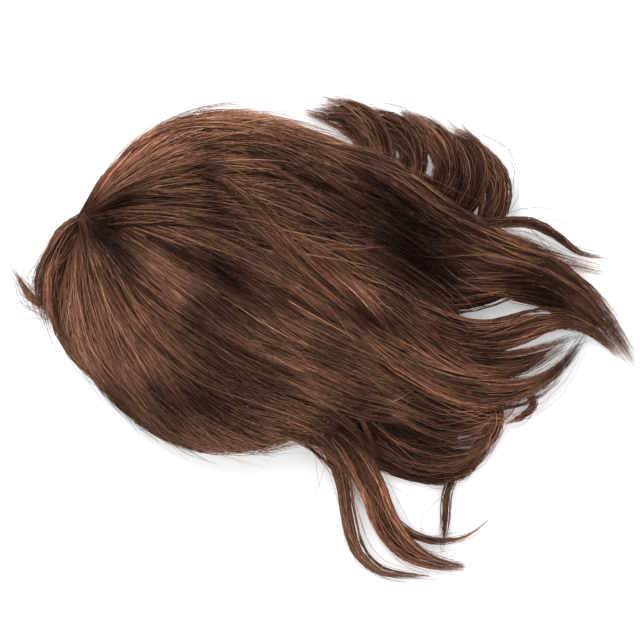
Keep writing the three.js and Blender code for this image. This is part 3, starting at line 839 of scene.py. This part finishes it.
strands("long_lock_strands", long_locks, "crown_hair", [330, 90, 300, 300, 330, 340], points=11)
loose_hairs("long_lock_loose", long_locks, [25, 12, 12, 20, 20, 20], 0.003)

# The wisps: small locks that part from the combed bands and lie over them, most on the dome.
# They follow the bands and cross them a little.
WISP_THICKNESS = 0.006
WISP_LIFT = 0.0028


def wisp(name, x, y, length, width, turns):
    return lock(name, x, y, length, width, turns, [0.5, 0.5], let_go=NEVER, thickness=WISP_THICKNESS,
                lift=WISP_LIFT, root=0.3, tip=0.3, kind="wisp")


wisps = zone(
    wisp("sweep_1", -0.11, 0.62, 1.06, 0.69, [-12, -42, -45, -42, -45, -50]),
    wisp("sweep_2", 0.01, 0.41, 0.80, 0.63, [-22, -40, -42, -38, -42, -46]),
    wisp("sweep_3", 0.44, 0.22, 0.56, 0.57, [-36, -42, -40, -46, -50, -52]),
    wisp("level_1", 0.34, 0.36, 0.56, 0.80, [-38, -14, -3, -5, -18, -35]),
    wisp("level_2", 0.67, 0.08, 0.48, 0.63, [-15, -12, -26, -42, -48, -50]),
    wisp("cross_1", -0.39, 0.25, 0.64, 0.57, [-24, -30, -30, -32, -36, -40]),
    wisp("cross_2", -0.03, 0.12, 0.52, 0.51, [-28, -30, -32, -36, -36, -34]),
    wisp("low_1", -0.39, -0.03, 0.72, 0.69, [-40, -36, -32, -28, -26, -24]),
    wisp("low_2", -0.08, -0.26, 0.56, 0.63, [-32, -27, -24, -22, -18, -12]),
    wisp("top_1", -0.54, 0.73, 0.90, 0.51, [38, 20, 2, -10, -18, -24]),
    wisp("top_2", -0.08, 0.77, 0.64, 0.51, [4, -5, -18, -32, -34, -28]),
    wisp("top_3", 0.16, 0.72, 0.60, 0.57, [-14, -28, -34, -26, -10, -4]),
    wisp("whorl_1", -0.67, 0.40, 0.48, 0.40, [32, 20, 6, -4, -8, -12]),
    wisp("whorl_2", -0.68, 0.33, 0.52, 0.46, [8, 2, 0, -6, -14, -20]),
    wisp("front_1", -0.64, 0.10, 0.56, 0.57, [-66, -60, -52, -46, -40, -34]),
    wisp("front_2", -0.51, 0.06, 0.60, 0.57, [-48, -44, -40, -34, -30, -28]),
)
WISP_COUNTS = [150, 120, 90, 110, 90, 90, 80, 110, 90, 100, 90, 90, 60, 70, 80, 80]
strands("wisp_strands", wisps, "crown_hair", WISP_COUNTS)

# The front hair: the bands that fall from the whorl past the cheek, and the loose tail with its thin hoop.
# The gathers are small locks over the bands, which draw them together into the tail.
front_bands = zone(
    sheet("near_edge", 2.36, [-62, -66, -46, -29, -26, -36]),
    sheet("cheek", 2.22, [-80, -72, -54, -38, -23, -20], last=0.86),
    sheet("jaw", 2.08, [-94, -82, -56, -38, -18, -10], 8, last=0.8),
    sheet("temple", 1.4, [-104, -92, -66, -46, -34, -24], 30, 0.65),
)
tail_locks = zone(
    lock("tail", 0.61, -0.86, 0.83, 0.75, [-47, -52, -71, -54, -23, -2],
         [0.4, 0.3, 0.22, 0.16, 0.1, 0.05]),
    lock("tail_edge", 0.39, -0.87, 0.92, 0.42, [-36, -47, -80, -66, -13, -4],
         [0.42, 0.3, 0.2, 0.13, 0.08, 0.04]),
    branch("hoop", "tail", 0.18, 0.8, 0.24, [-62, -60, -50, -22, 14, 48],
           [0.26, 0.2, 0.15, 0.1, 0.07, 0.04]),
)
gathers = zone(
    lock("gather_1", -0.02, -0.7, 0.75, 1.1, [-24, -18, -22, -36, -52, -60],
         [0.5, 0.46, 0.44, 0.36, 0.26, 0.16], let_go=0.3),
    lock("gather_2", 0.26, -0.62, 0.6, 1, [-18, -20, -28, -44, -56, -60],
         [0.5, 0.46, 0.44, 0.36, 0.28, 0.2], let_go=0.4),
    lock("gather_4", 0.36, -0.76, 0.5, 0.9, [-30, -34, -44, -58, -70, -74],
         [0.44, 0.4, 0.34, 0.26, 0.2, 0.16], let_go=0.4),
    lock("gather_3", 0.2, -0.5, 0.8, 1.1, [-24, -22, -18, -14, -10, -16],
         [0.5, 0.5, 0.46, 0.4, 0.34, 0.26], let_go=0.5),
)
mass("front_mass", front_bands + tail_locks, "front_hair")
strands("front_strands", front_bands, "front_hair", [770, 765, 610, 310])
loose_hairs("front_loose", front_bands, [150, 170, 200, 120], 0.006)
strands("tail_strands", tail_locks, "front_hair", [280, 140, 50], points=11)
strands("gather_strands", gathers, "front_hair", [140, 110, 80, 120])
loose_hairs("tail_loose", tail_locks, [20, 20, 8], 0.004)

# The fringe: short hair swept to the side from the whorl, with one tip that flips up at its end.
# A short lock lies over its root.
fringe_locks = zone(
    lock("bang_side", -0.745, 0.35, 0.9, 1.5, [-106, -98, -77, -50, -46, -44],
         [0.56, 0.54, 0.48, 0.36, 0.26, 0.2], hug=0, root=0.35),
    branch("bang_near", "bang_side", 0, 0.5, 1.2, [-110, -112, -102, -86, -72, -66],
           [0.56, 0.46, 0.34, 0.22, 0.14, 0.08]),
    branch("bang_mid", "bang_side", 0, 0.47, 1, [-118, -120, -116, -102, -66, -56],
           [0.56, 0.44, 0.32, 0.2, 0.11, 0.06]),
    branch("bang_flip", "bang_side", 0, 0.53, 0.34, [-122, -120, -117, -118, -228, -239],
           [0.56, 0.42, 0.3, 0.2, 0.13, 0.12], step=0.01, tip=0.1),
    lock("bang_top", -0.72, 0.37, 0.48, 0.8, [-146, -122, -120, -112, -96, -72],
         [0.52, 0.6, 0.55, 0.42, 0.28, 0.14], hug=0),
)
mass("fringe_mass", fringe_locks, "fringe")
strands("fringe_strands", fringe_locks, "fringe", [330, 240, 220, 170, 200])
loose_hairs("fringe_loose", fringe_locks, [50, 40, 40, 40, 40], 0.005)

# The nape hair: two flat locks that run out to the far tip on the right.
# Two smaller ones close the gap along their lower edge.
nape_locks = zone(
    lock("nape_fill", 1.5, -0.03, 0.64, 0.8, [-4, -10, -22, -36, -44, -48],
         [0.17, 0.16, 0.13, 0.1, 0.07, 0.05], hug=0),
    lock("nape_edge", 1.13, -0.1, 0.5, 0.5, [-14, -4, 12, 16, 8, 0],
         [0.2, 0.18, 0.17, 0.16, 0.15, 0.14], hug=0),
    lock("mass_far", 0.9, 0.31, 1.2, 1.2, [-20, -14, -11, -26, -48, -58],
         [0.26, 0.22, 0.18, 0.14, 0.1, 0.04]),
    lock("mass_near", 0.9, 0.17, 1.0, 1.1, [-24, -20, 6, -8, -34, -52],
         [0.26, 0.22, 0.18, 0.15, 0.1, 0.05]),
)
mass("nape_mass", nape_locks, "nape_hair")
strands("nape_strands", nape_locks, "nape_hair", [130, 60, 260, 240])

# The back hair: low bands on the far flank, and the fan of short locks that turns back up beyond them.
# Each lock of the fan starts on one root lock, a little further along it than the last.
back_bands = zone(
    sheet("far_low", 1.5, [60, 44, 18, 0, -8, -14], -70, 0.8),
    sheet("far_side", 2.08, [60, 48, 10, -12, -22, -30], -32),
)
fan_locks = zone(
    lock("fan_root", 0.6, 0.73, 0.8, 1.5, [-18, -22, -26, -30, -26, -24],
         [0.26, 0.2, 0.16, 0.14, 0.13, 0.12], hug=0),
    branch("fan_1", "fan_root", 0.23, 0.45, 0.8, [104, 107, 122, 152, 168, 170],
           [0.2, 0.18, 0.14, 0.1, 0.07, 0.05]),
    branch("fan_2", "fan_root", 0.34, 0.46, 0.8, [75, 98, 120, 142, 153, 163],
           [0.2, 0.18, 0.16, 0.12, 0.08, 0.06]),
    branch("fan_3", "fan_root", 0.44, 0.46, 0.8, [73, 80, 111, 140, 156, 166],
           [0.2, 0.18, 0.17, 0.13, 0.1, 0.07]),
    branch("fan_4", "fan_root", 0.56, 0.47, 0.85, [63, 66, 101, 124, 141, 159],
           [0.2, 0.18, 0.18, 0.14, 0.1, 0.06]),
    branch("fan_5", "fan_root", 0.68, 0.46, 1, [62, 62, 92, 113, 140, 161],
           [0.2, 0.17, 0.17, 0.13, 0.09, 0.05]),
    branch("fan_6", "fan_root", 0.8, 0.48, 0.85, [63, 66, 99, 123, 124, 125],
           [0.2, 0.15, 0.15, 0.11, 0.07, 0.04]),
)
mass("back_mass", back_bands + fan_locks, "back_hair")
strands("back_strands", back_bands, "back_hair", [320, 420])
strands("fan_strands", fan_locks, "back_hair", [100, 190, 190, 190, 190, 190, 150])
loose_hairs("fan_loose", fan_locks, [10, 20, 20, 20, 20, 20, 20], 0.004)

# The under hair: the flat bed that the wig rests on, and the curls that come out from under it.
# The thin ends that leave the curls are the drop, the hook and the spike.
STRIP_WIDTH = 1.4  # of a band's
STRIP_RISE = [0.34, 0.054, 0.054, 0.054, 0.054, 0.054]


def strip(name, x, y, length, turns):
    """A band of the bed, flat under the cap."""
    sizes = dict(length=length * BODY_HALF_LENGTH, width=STRIP_WIDTH * SHEET_WIDTH,
                 thickness=SHEET_THICKNESS, hug=0, root=0.25, tip=0.35, step=SHEET_STEP, kind="strip")
    return {**lock(name, x, y, 0, 0, turns, STRIP_RISE), **sizes}


bed_strips = zone(
    strip("bed_far", -0.76, 0.2, 1.95, [40, 30, 6, -8, -14, -18]),
    strip("bed_middle", -0.86, 0.2, 2.2, [0, -6, -8, -8, -12, -14]),
    strip("bed_near", -0.84, 0.16, 2.15, [-60, -44, -18, -10, -12, -16]),
)
under_locks = zone(
    lock("rim", 0.5, -0.71, 1.03, 0.8, [-43, -36, -20, 2, 65, 68],
         [0.08, 0.09, 0.09, 0.08, 0.06, 0.05], hug=0),
    lock("rim_inner", 0.6, -0.61, 0.85, 1.3, [-41, -41, -32, -11, 27, 69],
         [0.1, 0.11, 0.12, 0.1, 0.08, 0.06], hug=0),
    lock("curl", 0.8, -0.49, 0.72, 1.5, [-38, -38, -26, -6, 22, 60],
         [0.1, 0.12, 0.13, 0.13, 0.11, 0.08], hug=0),
    lock("drop", 1.49, -0.6, 0.34, 0.42, [-60, -70, -92, -115, -134, -139],
         [0.14, 0.17, 0.17, 0.13, 0.1, 0.06], hug=0),
    branch("hook", "curl", 1, 0.25, 0.3, [-10, -33, -106, -145, -156, -156],
           [0.1, 0.1, 0.09, 0.08, 0.07, 0.06]),
    branch("spike", "rim", 0.72, 0.37, 0.3, [-128, -114, -96, -92, -94, -98],
           [0.08, 0.07, 0.06, 0.05, 0.04, 0.04]),
)
mass("under_mass", bed_strips + under_locks, "under_hair")
strands("bed_strands", bed_strips, "under_hair", [90, 50, 90])
strands("curl_strands", under_locks, "under_hair", [200, 220, 240, 80, 50, 40], points=11)
loose_hairs("curl_loose", under_locks, [20, 20, 20, 10, 5, 5], 0.004)
